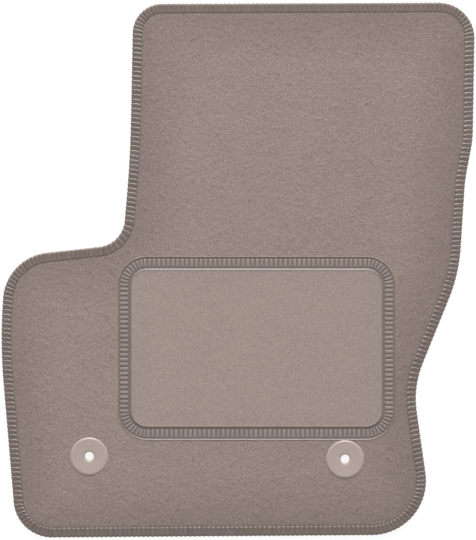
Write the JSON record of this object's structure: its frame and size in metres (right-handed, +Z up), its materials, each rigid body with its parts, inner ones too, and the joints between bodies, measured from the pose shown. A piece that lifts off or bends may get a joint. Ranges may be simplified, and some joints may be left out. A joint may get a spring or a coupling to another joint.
{
  "type": "vehicle floor mat",
  "caption": "Velour carpet floor mat for a left-hand-drive footwell, with footrest notch, overlocked edge, sewn heel pad and two round stud fixings.",
  "frame": {"origin": "bottom centre of the mat's bounding box, on the surface that the mat lies on", "axes": "+X towards the transmission tunnel (the picture's right), +Y towards the pedals (the picture's top), +Z up out of the carpet"},
  "size_m": [0.62, 0.7024, 0.0109],
  "materials": {
    "velour": "taupe cut-pile velour, matt with a soft sheen",
    "heel_pad_textile": "dense low needlefelt, a little lighter and smoother than the velour",
    "edge_yarn": "spun overlock yarn, slight sheen",
    "border_yarn": "satin-stitch yarn, slight sheen",
    "sewing_thread": "twisted sewing thread",
    "scrim": "spunbonded non-woven",
    "heavy_layer": "filled latex, matt",
    "anti_slip_rubber": "moulded rubber with anti-slip nubs, matt",
    "fixing_plastic": "moulded plastic, satin",
    "lower_disc_plastic": "moulded plastic, fine grain",
    "spring_steel": "bright spring wire"
  },
  "bodies": {
    "root": {"velour_carpet": "velour", "primary_backing": "scrim", "heavy_layer": "heavy_layer", "anti_slip_backing": "anti_slip_rubber", "edge_upper_yarn": "edge_yarn", "edge_lower_yarn": "edge_yarn", "edge_needle_thread": "sewing_thread", "heel_pad": "heel_pad_textile", "heel_pad_border": "border_yarn", "heel_pad_bobbin_thread": "sewing_thread", "left_fixing_upper_disc": "fixing_plastic", "left_fixing_lower_disc": "lower_disc_plastic", "left_fixing_spring_ring": "spring_steel", "right_fixing_upper_disc": "fixing_plastic", "right_fixing_lower_disc": "lower_disc_plastic", "right_fixing_spring_ring": "spring_steel"}
  },
  "joints": []
}
